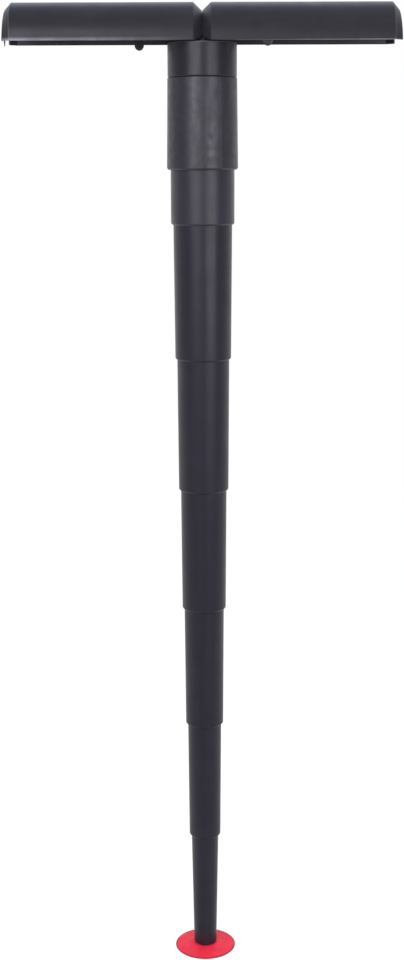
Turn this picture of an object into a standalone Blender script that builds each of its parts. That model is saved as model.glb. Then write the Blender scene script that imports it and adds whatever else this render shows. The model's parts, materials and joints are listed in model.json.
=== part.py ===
"""A one-leg folding stool: two half-round wings make a T-shaped seat on a leg of nested taper tubes.

The stool stands on z = 0, centred on its leg. X runs along the seat, and the front faces -Y.
Sizes are millimetres, and place() turns them into metres. The wings fold down round the closed leg.
"""

import math

import bmesh
import bpy
from mathutils import Vector

MM = 0.001

# Clearances
FIT = 0.3            # between two pieces that touch or slide in each other
TURN_GAP = 0.35      # round a hinge ear inside the wing
HALF_GAP = 0.15      # from a wing's mating faces to the middle plane, open or closed

# Seat wings, which close round the hub, the sleeve and the main tube
WING_WALL = 1.5
WING_CLEAR = 0.8     # round the grip sleeve's widest part
WING_END_ROOM = 15.8 # past the hub, the sleeve and the main tube's shown length
END_WALL = 2.0
CHAMFER_ALONG = 7.6
CHAMFER_IN = 7.1
MOUTH_CLEAR = 0.55   # round the widest leg tube
MOUTH_DRAFT = 1.2
WING_STEPS = 32

# Closing tabs, and the small tooth and notch at the outer corners
TAB_AT = 55.5
TAB_WIDTH = 8.4
TAB_DROP = 4.8
TAB_THICK = 0.7
TAB_ROOT = 4.0
TOOTH_FROM_END = 2.8
TOOTH_WIDTH = 1.4
TOOTH_DROP = 4.4
TOOTH_THICK = 0.5
TOOTH_TAPER = 0.4
TOOTH_ROOT = 2.5
TOOTH_INSET = 0.0    # from the mouth's edge to the tooth's inner face
TOOTH_WEB = 1.2      # from the tooth's outer face into the end wall
NOTCH_DEPTH = 1.8
ROOT_START = 0.6     # how far above the rim a tab's or tooth's root starts
SINK = 0.5           # how far a joined shape runs into its neighbour
CUT_PAST = 1.0       # how far a cutter runs past the wall

# Wing hinges
HINGE_OFFSET = 5.6
PIN_RADIUS = 1.6
PIN_HEAD_RADIUS = 2.8
PIN_HEAD = 1.3
PIN_TAIL = 2.0
PIN_EDGE = 0.4
CLIP_THICK = 0.9
CLIP_RADIUS = 3.0
EAR_INNER = 13.5
EAR_OUTER = 19.5
KNUCKLE_INNER = 4.5
KNUCKLE_OUTER = 12.0
BLOCK_HALF = 13.0
BLOCK_DEPTH = 7.4
BLOCK_HEIGHT = 9.0
WING_SCREW_SPREAD = 8.0
WING_SCREW_HEAD = 2.3
WING_SCREW_HEAD_THICK = 0.9
WING_SCREW_RADIUS = 1.1
WING_SCREW_LENGTH = 7.0
WING_SOCKET_RADIUS = 0.7
WING_SOCKET_DEPTH = 0.5

# Hub, hinge yoke and what holds them to the main tube
HUB_WALL = 1.75
HUB_RIM = 2.4
HUB_HEIGHT = 29.1
HUB_EDGE = 0.6
HUB_FLOOR = 2.5
YOKE_PLATE = 2.7
YOKE_SCREW_INSET = 7.0
YOKE_SCREW_ANGLE = 28.0
YOKE_SCREW_RADIUS = 1.5
YOKE_SCREW_HEAD = 3.0
YOKE_SCREW_HEAD_THICK = 1.4
SOCKET_RADIUS = 1.1
SOCKET_DEPTH = 0.7
PLUG_FLANGE = 1.7
PLUG_DEPTH = 4.4
SCREW_SHORT = 0.8

# Main tube and the grip sleeve on it
MAIN_RADIUS = 28.15
MAIN_WALL = 1.6
MAIN_SHOWN = 47.8
SLEEVE_HEIGHT = 78.5
SLEEVE_TOP_WALL = 1.95
SLEEVE_BOTTOM_WALL = 2.85
SLEEVE_EDGE = 0.4
SEAM_ANGLE = -59.5
SEAM_WIDTH = 0.9
SEAM_DEPTH = 0.45

# Leg tubes from the top down: the length that shows, the radius lost over the whole tube, and the wall
LEG_SHOWN = (120.0, 121.0, 113.5, 114.2, 113.9, 113.7)
LEG_TAPER = (1.05, 0.88, 0.85, 0.89, 1.00, 2.40)
LEG_WALL = (1.40, 1.50, 1.55, 1.60, 1.50, 1.45)
OVERLAP = 20.0
EDGE = 0.8
TUBE_STEPS = 48
PIN_STEPS = 16
HOLE_STEPS = 12

# Foot
PAD_THICK = 4.1
PAD_RADIUS = 29.0
PAD_BEVEL = 0.7
PAD_RIM = 1.4
PAD_SHOULDER = 0.6
FOOT_PLUG_HEIGHT = 13.0
FOOT_SCREW_RADIUS = 1.6
FOOT_SCREW_HEAD = 3.4
FOOT_SCREW_HEAD_THICK = 0.8
FOOT_WASHER_RADIUS = 4.6
FOOT_WASHER_THICK = 0.6
FOOT_RECESS = 2.4

# Places that follow from the sizes above, from the floor up
LEG_BOTTOM = PAD_THICK + FIT
MAIN_BOTTOM = LEG_BOTTOM + sum(LEG_SHOWN)
SLEEVE_BOTTOM = MAIN_BOTTOM + MAIN_SHOWN
HUB_BOTTOM = SLEEVE_BOTTOM + SLEEVE_HEIGHT
HUB_TOP = HUB_BOTTOM + HUB_HEIGHT
RIM = HUB_TOP + FIT
MAIN_BORE = MAIN_RADIUS - MAIN_WALL
SOCKET_BORE = MAIN_RADIUS + FIT
HUB_RADIUS = SOCKET_BORE + HUB_WALL
YOKE_RADIUS = HUB_RADIUS - HUB_RIM - FIT
YOKE_SCREW_CIRCLE = MAIN_BORE - YOKE_SCREW_INSET
SLEEVE_TOP_RADIUS = SOCKET_BORE + SLEEVE_TOP_WALL
SLEEVE_BOTTOM_RADIUS = SOCKET_BORE + SLEEVE_BOTTOM_WALL
WING_RADIUS = SLEEVE_BOTTOM_RADIUS + WING_CLEAR + WING_WALL
WING_LENGTH = HUB_HEIGHT + SLEEVE_HEIGHT + MAIN_SHOWN + WING_END_ROOM
MOUTH_RADIUS = MAIN_BORE - FIT + MOUTH_CLEAR
HINGE_HEIGHT = RIM + HINGE_OFFSET - HALF_GAP
CORNER_RADIUS = HINGE_OFFSET - HALF_GAP
EAR_RADIUS = CORNER_RADIUS - END_WALL - TURN_GAP
FLOOR_TOP = HUB_TOP - YOKE_PLATE - FIT
FLOOR_BOTTOM = FLOOR_TOP - HUB_FLOOR
FLANGE_TOP = FLOOR_BOTTOM - FIT
FLANGE_BOTTOM = FLANGE_TOP - PLUG_FLANGE
MAIN_TOP = FLANGE_BOTTOM - FIT
PLUG_BOTTOM = FLANGE_BOTTOM - PLUG_DEPTH
PIN_HOLE = PIN_RADIUS + FIT
YOKE_SCREW_HOLE = YOKE_SCREW_RADIUS + FIT
WING_SCREW_HOLE = WING_SCREW_RADIUS + FIT
WING_SCREW_HEIGHT = HINGE_HEIGHT + EAR_RADIUS + FIT + BLOCK_HEIGHT / 2

# Colour, roughness and metallic value of each finish
MOULDED_BLACK = ((0.035, 0.034, 0.040), 0.42, 0.0)
TUBE_BLACK = ((0.034, 0.033, 0.038), 0.48, 0.0)
NYLON_GREY = ((0.12, 0.12, 0.13), 0.50, 0.0)
STEEL = ((0.55, 0.56, 0.58), 0.30, 1.0)
RUBBER_RED = ((0.76, 0.035, 0.05), 0.50, 0.0)


def clear_scene():
    for thing in list(bpy.data.objects):
        bpy.data.objects.remove(thing, do_unlink=True)


def add_axis(name, centre, parent=None):
    """An empty on the axis about or along which its pieces move."""
    axis = bpy.data.objects.new(name, None)
    axis.empty_display_size = 0.02
    bpy.context.collection.objects.link(axis)
    start = axis_place(parent) if parent else Vector((0, 0, 0))
    axis.location = Vector(centre) * MM - start
    axis.parent = parent
    return axis


def axis_place(axis):
    """Where an empty stands in the world, found by adding up its parents' steps."""
    total = Vector(axis.location)
    while axis.parent:
        axis = axis.parent
        total += Vector(axis.location)
    return total


def add_finish(name, finish):
    colour, roughness, metallic = finish
    material = bpy.data.materials.new(name + "_finish")
    material.use_nodes = True
    shader = material.node_tree.nodes["Principled BSDF"]
    shader.inputs["Base Color"].default_value = (*colour, 1.0)
    shader.inputs["Roughness"].default_value = roughness
    shader.inputs["Metallic"].default_value = metallic
    material.diffuse_color = (*colour, 1.0)
    return material


def place(name, shape, axis, finish=None):
    """Puts a shape, drawn in world millimetres, into the scene with its origin on its axis."""
    bmesh.ops.recalc_face_normals(shape, faces=shape.faces)
    offset = axis_place(axis)
    for vert in shape.verts:
        vert.co = vert.co * MM - offset
    mesh = bpy.data.meshes.new(name)
    shape.to_mesh(mesh)
    shape.free()
    mesh.shade_smooth()
    mesh.set_sharp_from_angle(angle=math.radians(30))
    piece = bpy.data.objects.new(name, mesh)
    piece.parent = axis
    bpy.context.collection.objects.link(piece)
    if finish:
        mesh.materials.append(add_finish(name, finish))
    else:
        piece.hide_render = True
        piece.display_type = "WIRE"
    return piece


def combine(piece, shape, operation):
    """Cuts a shape from a piece, or joins it on, and keeps the shape as a hidden helper."""
    helper = place(piece.name + "_" + operation.lower(), shape, piece.parent)
    modifier = piece.modifiers.new(operation.title(), "BOOLEAN")
    modifier.operation = operation
    modifier.solver = "EXACT"
    modifier.object = helper
    return piece


def cut(piece, shape):
    return combine(piece, shape, "DIFFERENCE")


def join(piece, shape):
    return combine(piece, shape, "UNION")


def swept(profile, point, steps, whole=True):
    """A closed profile of (radius, along) points carried round an axis. point(radius, along, turn) gives
    the place for a turn from 0 to 1. A part turn is closed by the profile at both ends."""
    shape = bmesh.new()
    count = steps if whole else steps + 1
    rings = []
    for radius, along in profile:
        if radius == 0:
            rings.append([shape.verts.new(point(0, along, 0))] * count)
        else:
            rings.append([shape.verts.new(point(radius, along, i / steps)) for i in range(count)])
    for first, second in zip(rings, rings[1:] + rings[:1]):
        for i in range(steps):
            j = (i + 1) % count
            corners = list(dict.fromkeys((first[i], second[i], second[j], first[j])))
            if len(corners) > 2:
                shape.faces.new(corners)
    if not whole:
        shape.faces.new([ring[0] for ring in rings])
        shape.faces.new([ring[-1] for ring in rings])
    return shape


def turned(profile, centre=(0.0, 0.0), steps=TUBE_STEPS):
    """A piece turned about a vertical line, from (radius, height) points."""
    def point(radius, height, turn):
        angle = 2 * math.pi * turn
        return (centre[0] + radius * math.cos(angle), centre[1] + radius * math.sin(angle), height)

    return swept(profile, point, steps)


def turned_along_y(profile, x, z, steps=PIN_STEPS):
    """A piece turned about a line along Y, from (radius, y) points."""
    def point(radius, y, turn):
        angle = 2 * math.pi * turn
        return (x + radius * math.cos(angle), y, z + radius * math.sin(angle))

    return swept(profile, point, steps)


def turned_along_x(profile, y, z, steps=HOLE_STEPS):
    """A piece turned about a line along X, from (radius, x) points."""
    def point(radius, x, turn):
        angle = 2 * math.pi * turn
        return (x, y + radius * math.cos(angle), z + radius * math.sin(angle))

    return swept(profile, point, steps)


def rod(radius, low, high):
    """The profile of a plain round rod between two places along its axis."""
    return [(0, low), (radius, low), (radius, high), (0, high)]


def ring(inner, outer, low, high):
    """The profile of a plain ring."""
    return [(inner, low), (outer, low), (outer, high), (inner, high)]


def prism(outline, low, high):
    """An outline of (x, z) points pushed along Y from low to high."""
    shape = bmesh.new()
    near = [shape.verts.new((x, low, z)) for x, z in outline]
    far = [shape.verts.new((x, high, z)) for x, z in outline]
    shape.faces.new(near)
    shape.faces.new(far)
    for i in range(len(outline)):
        j = (i + 1) % len(outline)
        shape.faces.new((near[i], near[j], far[j], far[i]))
    return shape


def box(low, high):
    corners = [(low[0], low[2]), (high[0], low[2]), (high[0], high[2]), (low[0], high[2])]
    return prism(corners, low[1], high[1])


def arc(centre, radius, start, end, steps=8):
    """Points on an arc, with its angles in degrees."""
    angles = [math.radians(start + (end - start) * i / steps) for i in range(steps + 1)]
    return [(centre[0] + radius * math.cos(a), centre[1] + radius * math.sin(a)) for a in angles]


def wing_profile():
    """(radius, distance from the middle plane) round the wing's wall, from its inner end to its mouth."""
    slant = math.hypot(CHAMFER_ALONG, CHAMFER_IN)
    slope = CHAMFER_IN / CHAMFER_ALONG
    face = WING_RADIUS - CHAMFER_IN
    skin = WING_RADIUS - WING_WALL
    shift_along = WING_WALL * CHAMFER_IN / slant
    shift_in = WING_WALL * CHAMFER_ALONG / slant
    start = HALF_GAP
    end = WING_LENGTH + (MOUTH_RADIUS - face) / slope

    def inner_radius(from_face):
        return face - shift_in + (from_face - shift_along) * slope

    def inner_distance(radius):
        return shift_along + (radius - face + shift_in) / slope

    return [
        (0, start),
        (face, start),
        (WING_RADIUS, start + CHAMFER_ALONG),
        (WING_RADIUS, end - CHAMFER_ALONG),
        (MOUTH_RADIUS, WING_LENGTH),
        (MOUTH_RADIUS, end - inner_distance(MOUTH_RADIUS)),
        (skin, end - inner_distance(skin)),
        (skin, start + inner_distance(skin)),
        (inner_radius(END_WALL), start + END_WALL),
        (0, start + END_WALL),
    ]


def wing_shell(side):
    """The half-round shell. Its mouth leans back a little towards the top."""
    def point(radius, distance, turn):
        angle = math.pi * turn
        height = radius * math.sin(angle)
        lean = MOUTH_DRAFT * height / MOUTH_RADIUS if distance == WING_LENGTH else 0
        return (side * (distance - lean), radius * math.cos(angle), RIM + height)

    return swept(wing_profile(), point, WING_STEPS, whole=False)


def wrapped_plate(side, face, rows, inner, outer):
    """A thin plate bent to the wing's round, on its front (-1) or rear (1) rim.
    rows are (height above the rim along the round, nearest and farthest distance from the middle)."""
    shape = bmesh.new()
    grid = []
    for rise, near, far in rows:
        turn = rise / inner
        line = []
        for radius, distance in ((inner, near), (outer, near), (outer, far), (inner, far)):
            place_y = face * radius * math.cos(turn)
            line.append(shape.verts.new((side * distance, place_y, RIM + radius * math.sin(turn))))
        grid.append(line)
    for low, high in zip(grid, grid[1:]):
        for i in range(4):
            j = (i + 1) % 4
            shape.faces.new((low[i], low[j], high[j], high[i]))
    shape.faces.new(grid[0])
    shape.faces.new(grid[-1])
    return shape


def tab_rows(top):
    """The half-round tab, from its tip below the rim up to its root."""
    half = TAB_WIDTH / 2
    rows = []
    for i in range(9):
        angle = math.radians(8 + 82 * i / 8)
        rows.append((-TAB_DROP * math.cos(angle), half * math.sin(angle)))
    rows.append((top, half))
    return [(rise, TAB_AT - width, TAB_AT + width) for rise, width in rows]


def corner_cutter(side):
    """Rounds the wing's lower inner corner about the hinge, so that it turns clear of the other wing."""
    reach = CORNER_RADIUS + CUT_PAST
    outline = arc((0, 0), CORNER_RADIUS, -90, 0) + [(reach, 0), (reach, -reach), (0, -reach)]
    points = [(side * (HINGE_OFFSET - x), HINGE_HEIGHT + z) for x, z in outline]
    return prism(points, -WING_RADIUS - CUT_PAST, WING_RADIUS + CUT_PAST)


def add_wing(side, label, axis):
    shell = place(label + "_wing_shell", wing_shell(side), axis, MOULDED_BLACK)
    cut(shell, corner_cutter(side))
    skin = WING_RADIUS - WING_WALL
    tab_face = 1 if side < 0 else -1
    tab_outer = skin - HALF_GAP
    tongue = wrapped_plate(side, tab_face, tab_rows(TAB_ROOT), tab_outer - TAB_THICK, tab_outer)
    near, far = TAB_AT - TAB_WIDTH / 2, TAB_AT + TAB_WIDTH / 2
    root_rows = [(ROOT_START, near, far), (TAB_ROOT + SINK, near, far)]
    join(shell, wrapped_plate(side, tab_face, root_rows, tab_outer - TAB_THICK / 2, skin + SINK))
    join(shell, tongue)
    add_wing_corner(side, shell)
    for n, y in enumerate((-WING_SCREW_SPREAD, WING_SCREW_SPREAD), 1):
        add_wing_screw(side, label, n, y, shell, axis)
    add_hinge_block(side, label, axis)


def add_wing_corner(side, shell):
    """A thin tooth at the left wing's front corner, and the notch that it closes on in the right one."""
    far = WING_LENGTH - TOOTH_FROM_END
    near = far - TOOTH_WIDTH
    if side < 0:
        inner = MOUTH_RADIUS + TOOTH_INSET
        outer = inner + TOOTH_THICK
        rows = [(-TOOTH_DROP, near + TOOTH_TAPER, far - TOOTH_TAPER), (0, near, far)]
        rows.append((TOOTH_ROOT, near, far))
        join(shell, wrapped_plate(side, -1, rows, inner, outer))
        root = [(ROOT_START, near, far), (TOOTH_ROOT, near, far)]
        join(shell, wrapped_plate(side, -1, root, inner + TOOTH_THICK / 2, outer + TOOTH_WEB))
    else:
        low = (near - FIT, -WING_RADIUS, RIM - CUT_PAST)
        cut(shell, box(low, (far + FIT, 0, RIM + NOTCH_DEPTH)))


def add_wing_screw(side, label, n, y, shell, axis):
    """A screw from the wing's inner end face into the hinge block, with its head below the face."""
    face = HALF_GAP
    head_top = face + FIT
    head_end = head_top + WING_SCREW_HEAD_THICK
    tip = head_end + WING_SCREW_LENGTH
    socket_end = head_top + WING_SOCKET_DEPTH
    profile = [(0, socket_end), (WING_SOCKET_RADIUS, socket_end), (WING_SOCKET_RADIUS, head_top)]
    profile += [(WING_SCREW_HEAD, head_top), (WING_SCREW_HEAD, head_end)]
    profile += [(WING_SCREW_RADIUS, head_end), (WING_SCREW_RADIUS, tip), (0, tip)]
    profile = [(radius, side * x) for radius, x in profile]
    place(f"{label}_wing_screw_{n}", turned_along_x(profile, y, WING_SCREW_HEIGHT), axis, STEEL)
    recess_end = head_end + FIT
    hole_start = face - CUT_PAST
    hole_end = face + END_WALL + CUT_PAST
    head_hole = WING_SCREW_HEAD + FIT
    hole = [(0, hole_start), (head_hole, hole_start), (head_hole, recess_end)]
    hole += [(WING_SCREW_HOLE, recess_end), (WING_SCREW_HOLE, hole_end), (0, hole_end)]
    cut(shell, turned_along_x([(r, side * x) for r, x in hole], y, WING_SCREW_HEIGHT))


def add_hinge_block(side, label, axis):
    """The block behind the wing's end wall. Its two knuckles turn on the hinge pin."""
    near = HALF_GAP + END_WALL + FIT
    far = near + BLOCK_DEPTH
    low = HINGE_HEIGHT + EAR_RADIUS + FIT
    edges = sorted((side * near, side * far))
    body = box((edges[0], -BLOCK_HALF, low), (edges[1], BLOCK_HALF, low + BLOCK_HEIGHT))
    block = place(label + "_hinge_block", body, axis, NYLON_GREY)
    hinge_x = side * HINGE_OFFSET
    for low_y in (-KNUCKLE_OUTER, KNUCKLE_INNER):
        high_y = low_y + KNUCKLE_OUTER - KNUCKLE_INNER
        lug = arc((hinge_x, HINGE_HEIGHT), EAR_RADIUS, 180, 360)
        lug += [(hinge_x + EAR_RADIUS, low + SINK), (hinge_x - EAR_RADIUS, low + SINK)]
        join(block, prism(lug, low_y, high_y))
    reach = rod(PIN_HOLE, -BLOCK_HALF - CUT_PAST, BLOCK_HALF + CUT_PAST)
    cut(block, turned_along_y(reach, hinge_x, HINGE_HEIGHT))
    tip = HALF_GAP + FIT + WING_SCREW_HEAD_THICK + WING_SCREW_LENGTH + FIT
    for y in (-WING_SCREW_SPREAD, WING_SCREW_SPREAD):
        bore = [(radius, side * x) for radius, x in rod(WING_SCREW_HOLE, near - CUT_PAST, tip)]
        cut(block, turned_along_x(bore, y, WING_SCREW_HEIGHT))


def add_hinge_pin(side, label, axis):
    """The pin through the yoke's ears, its clip, and the friction washers beside the knuckles."""
    x = side * HINGE_OFFSET
    head_end = -EAR_OUTER - FIT
    tail = EAR_OUTER + PIN_TAIL
    start = head_end - PIN_HEAD
    profile = [(0, start), (PIN_HEAD_RADIUS - PIN_EDGE, start), (PIN_HEAD_RADIUS, start + PIN_EDGE)]
    profile += [(PIN_HEAD_RADIUS, head_end), (PIN_RADIUS, head_end)]
    profile += [(PIN_RADIUS, tail - PIN_EDGE), (PIN_RADIUS - PIN_EDGE, tail), (0, tail)]
    place(label + "_hinge_pin", turned_along_y(profile, x, HINGE_HEIGHT), axis, STEEL)
    clip_low = EAR_OUTER + FIT
    clip = ring(PIN_HOLE, CLIP_RADIUS, clip_low, clip_low + CLIP_THICK)
    place(label + "_pin_clip", turned_along_y(clip, x, HINGE_HEIGHT), axis, STEEL)
    low, high = KNUCKLE_OUTER + FIT, EAR_INNER - FIT
    washer = ring(PIN_HOLE, EAR_RADIUS, low, high)
    place(label + "_rear_friction_washer", turned_along_y(washer, x, HINGE_HEIGHT), axis, NYLON_GREY)
    washer = ring(PIN_HOLE, EAR_RADIUS, -high, -low)
    place(label + "_front_friction_washer", turned_along_y(washer, x, HINGE_HEIGHT), axis, NYLON_GREY)


def yoke_screw_places():
    across = YOKE_SCREW_CIRCLE * math.cos(math.radians(YOKE_SCREW_ANGLE))
    deep = YOKE_SCREW_CIRCLE * math.sin(math.radians(YOKE_SCREW_ANGLE))
    return [(x, y) for x in (-across, across) for y in (-deep, deep)]


def add_hub(axis):
    recess = YOKE_RADIUS + FIT
    profile = [(0, FLOOR_TOP), (recess, FLOOR_TOP), (recess, HUB_TOP), (HUB_RADIUS - HUB_EDGE, HUB_TOP)]
    profile += [(HUB_RADIUS, HUB_TOP - HUB_EDGE), (HUB_RADIUS, HUB_BOTTOM), (SOCKET_BORE, HUB_BOTTOM)]
    profile += [(SOCKET_BORE, FLOOR_BOTTOM), (0, FLOOR_BOTTOM)]
    hub = place("hub_cap", turned(profile), axis, MOULDED_BLACK)
    for spot in yoke_screw_places():
        hole = rod(YOKE_SCREW_HOLE, FLOOR_BOTTOM - CUT_PAST, FLOOR_TOP + CUT_PAST)
        cut(hub, turned(hole, spot, HOLE_STEPS))


def add_yoke(axis):
    """The round plate in the hub's top, with an ear at both ends of each hinge."""
    bottom = FLOOR_TOP + FIT
    yoke = place("hinge_yoke", turned(rod(YOKE_RADIUS, bottom, HUB_TOP)), axis, NYLON_GREY)
    for side in (-1, 1):
        x = side * HINGE_OFFSET
        root = HUB_TOP - YOKE_PLATE / 2
        ear = [(x + EAR_RADIUS, root)] + arc((x, HINGE_HEIGHT), EAR_RADIUS, 0, 180)
        ear.append((x - EAR_RADIUS, root))
        for low_y in (-EAR_OUTER, EAR_INNER):
            join(yoke, prism(ear, low_y, low_y + EAR_OUTER - EAR_INNER))
        hole = rod(PIN_HOLE, -EAR_OUTER - CUT_PAST, EAR_OUTER + CUT_PAST)
        cut(yoke, turned_along_y(hole, x, HINGE_HEIGHT))
    head = YOKE_SCREW_HEAD + FIT
    seat = HUB_TOP - 2 * FIT - YOKE_SCREW_HEAD_THICK
    start = bottom - CUT_PAST
    end = HUB_TOP + CUT_PAST
    profile = [(0, start), (YOKE_SCREW_HOLE, start), (YOKE_SCREW_HOLE, seat)]
    profile += [(head, seat), (head, end), (0, end)]
    for spot in yoke_screw_places():
        cut(yoke, turned(profile, spot, HOLE_STEPS))


def add_yoke_screws(axis):
    """The screws that draw the yoke and the hub down onto the plug in the main tube."""
    top = HUB_TOP - FIT
    under = top - YOKE_SCREW_HEAD_THICK
    tip = PLUG_BOTTOM + SCREW_SHORT
    profile = [(0, tip), (YOKE_SCREW_RADIUS, tip), (YOKE_SCREW_RADIUS, under), (YOKE_SCREW_HEAD, under)]
    profile += [(YOKE_SCREW_HEAD, top), (SOCKET_RADIUS, top)]
    profile += [(SOCKET_RADIUS, top - SOCKET_DEPTH), (0, top - SOCKET_DEPTH)]
    for n, spot in enumerate(yoke_screw_places(), 1):
        place(f"yoke_screw_{n}", turned(profile, spot, HOLE_STEPS), axis, STEEL)


def add_main_tube(axis):
    profile = [(MAIN_BORE, MAIN_BOTTOM), (MAIN_RADIUS - EDGE, MAIN_BOTTOM), (MAIN_RADIUS, MAIN_BOTTOM + EDGE)]
    profile += [(MAIN_RADIUS, MAIN_TOP), (MAIN_BORE, MAIN_TOP)]
    place("main_tube", turned(profile), axis, TUBE_BLACK)
    boss = MAIN_BORE - FIT
    profile = [(0, PLUG_BOTTOM), (boss, PLUG_BOTTOM), (boss, FLANGE_BOTTOM), (MAIN_RADIUS, FLANGE_BOTTOM)]
    profile += [(MAIN_RADIUS, FLANGE_TOP), (0, FLANGE_TOP)]
    plug = place("tube_plug", turned(profile), axis, NYLON_GREY)
    for spot in yoke_screw_places():
        hole = rod(YOKE_SCREW_HOLE, PLUG_BOTTOM - CUT_PAST, FLANGE_TOP + CUT_PAST)
        cut(plug, turned(hole, spot, HOLE_STEPS))


def add_grip_sleeve(axis):
    """The sleeve under the hub widens downwards and has one moulding seam at its front right."""
    top = HUB_BOTTOM - FIT
    profile = [(SOCKET_BORE, SLEEVE_BOTTOM), (SLEEVE_BOTTOM_RADIUS - EDGE, SLEEVE_BOTTOM)]
    profile += [(SLEEVE_BOTTOM_RADIUS, SLEEVE_BOTTOM + EDGE), (SLEEVE_TOP_RADIUS, top - SLEEVE_EDGE)]
    profile += [(SLEEVE_TOP_RADIUS - SLEEVE_EDGE, top), (SOCKET_BORE, top)]
    sleeve = place("grip_sleeve", turned(profile), axis, MOULDED_BLACK)
    angle = math.radians(SEAM_ANGLE)
    outward = Vector((math.cos(angle), math.sin(angle), 0))
    across = Vector((-math.sin(angle), math.cos(angle), 0)) * SEAM_WIDTH / 2
    groove = bmesh.new()
    low, high = [], []
    ends = ((SLEEVE_BOTTOM - CUT_PAST, low, SLEEVE_BOTTOM_RADIUS), (top + CUT_PAST, high, SLEEVE_TOP_RADIUS))
    for height, line, radius in ends:
        for reach, sign in ((-SEAM_DEPTH, -1), (-SEAM_DEPTH, 1), (CUT_PAST, 1), (CUT_PAST, -1)):
            spot = outward * (radius + reach) + across * sign + Vector((0, 0, height))
            line.append(groove.verts.new(spot))
    groove.faces.new(low)
    groove.faces.new(high)
    for i in range(4):
        j = (i + 1) % 4
        groove.faces.new((low[i], low[j], high[j], high[i]))
    cut(sleeve, groove)


def leg_sections():
    """Each leg tube's bottom, top, and radius at both, so that its top end fits inside the tube above."""
    sections = []
    mouth = MAIN_BOTTOM
    bore = MAIN_BORE
    for shown, taper, wall in zip(LEG_SHOWN, LEG_TAPER, LEG_WALL):
        top = mouth + OVERLAP
        bottom = mouth - shown
        top_radius = bore - FIT
        bottom_radius = top_radius - taper
        sections.append((bottom, top, bottom_radius, top_radius, wall))
        slope = taper / (top - bottom)
        mouth = bottom
        bore = bottom_radius + slope * OVERLAP - wall
    return sections


def add_leg(axes):
    for n, (bottom, top, low_radius, high_radius, wall) in enumerate(leg_sections(), 1):
        profile = [(low_radius - wall, bottom), (low_radius - EDGE, bottom), (low_radius, bottom + EDGE)]
        profile += [(high_radius, top), (high_radius - wall, top)]
        place(f"leg_tube_{n}", turned(profile), axes[n - 1], TUBE_BLACK)


def add_foot(axis):
    """The round rubber foot, with the plug, screw and washer that hold it to the last tube."""
    base, _, low_radius, _, wall = leg_sections()[-1]
    bore = FOOT_SCREW_RADIUS + FIT
    recess = FOOT_WASHER_RADIUS + FIT
    shoulder = low_radius + PAD_SHOULDER
    pad = [(recess, 0), (PAD_RADIUS - PAD_BEVEL, 0), (PAD_RADIUS, PAD_BEVEL), (PAD_RADIUS, PAD_RIM)]
    pad += [(shoulder, PAD_THICK), (bore, PAD_THICK), (bore, FOOT_RECESS), (recess, FOOT_RECESS)]
    place("foot_pad", turned(pad), axis, RUBBER_RED)
    plug = ring(bore, low_radius - wall - FIT, base, base + FOOT_PLUG_HEIGHT)
    place("foot_plug", turned(plug), axis, NYLON_GREY)
    washer_top = FOOT_RECESS - FIT
    washer_low = washer_top - FOOT_WASHER_THICK
    washer = ring(bore, FOOT_WASHER_RADIUS, washer_low, washer_top)
    place("foot_washer", turned(washer, steps=PIN_STEPS), axis, STEEL)
    head_top = washer_low - FIT
    head_low = head_top - FOOT_SCREW_HEAD_THICK
    tip = base + FOOT_PLUG_HEIGHT - SCREW_SHORT
    screw = [(0, head_low), (FOOT_SCREW_HEAD, head_low), (FOOT_SCREW_HEAD, head_top)]
    screw += [(FOOT_SCREW_RADIUS, head_top), (FOOT_SCREW_RADIUS, tip), (0, tip)]
    place("foot_screw", turned(screw, steps=PIN_STEPS), axis, STEEL)


def build():
    clear_scene()
    head = add_axis("head_axis", (0, 0, HUB_BOTTOM))
    wings = ((-1, "left"), (1, "right"))
    for side, label in wings:
        axis = add_axis(label + "_wing_axis", (side * HINGE_OFFSET, 0, HINGE_HEIGHT), head)
        add_wing(side, label, axis)
        add_hinge_pin(side, label, head)
    add_hub(head)
    add_yoke(head)
    add_yoke_screws(head)
    add_main_tube(head)
    add_grip_sleeve(head)
    axes = []
    parent = head
    for n, section in enumerate(leg_sections(), 1):
        parent = add_axis(f"leg_axis_{n}", (0, 0, section[0]), parent)
        axes.append(parent)
    add_leg(axes)
    add_foot(axes[-1])


build()
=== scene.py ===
# A one-leg folding stool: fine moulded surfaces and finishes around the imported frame.
import json
import math

import bmesh
import bpy
import numpy as np
from mathutils import Euler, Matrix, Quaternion, Vector

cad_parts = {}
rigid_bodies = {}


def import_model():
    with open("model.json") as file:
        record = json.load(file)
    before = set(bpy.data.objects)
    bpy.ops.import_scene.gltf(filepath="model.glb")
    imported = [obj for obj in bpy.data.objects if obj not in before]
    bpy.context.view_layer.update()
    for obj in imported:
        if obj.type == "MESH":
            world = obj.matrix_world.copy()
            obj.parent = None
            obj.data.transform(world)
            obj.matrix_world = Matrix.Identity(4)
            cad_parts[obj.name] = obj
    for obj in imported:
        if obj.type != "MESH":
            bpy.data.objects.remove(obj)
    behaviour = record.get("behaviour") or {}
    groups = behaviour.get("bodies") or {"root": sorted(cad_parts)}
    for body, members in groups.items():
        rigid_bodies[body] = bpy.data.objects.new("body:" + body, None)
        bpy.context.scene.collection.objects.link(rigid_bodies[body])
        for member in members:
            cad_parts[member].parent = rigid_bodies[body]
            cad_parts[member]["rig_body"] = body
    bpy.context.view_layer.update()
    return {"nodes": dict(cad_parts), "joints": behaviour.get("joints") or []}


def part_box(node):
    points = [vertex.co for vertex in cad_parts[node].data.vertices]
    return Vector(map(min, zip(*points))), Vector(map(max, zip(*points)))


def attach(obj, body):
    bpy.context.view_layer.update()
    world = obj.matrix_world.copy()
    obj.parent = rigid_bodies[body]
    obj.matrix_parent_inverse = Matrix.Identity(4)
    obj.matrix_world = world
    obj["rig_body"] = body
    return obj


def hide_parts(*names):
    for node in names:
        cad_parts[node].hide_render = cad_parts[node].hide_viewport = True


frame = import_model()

mm = 0.001
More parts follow.
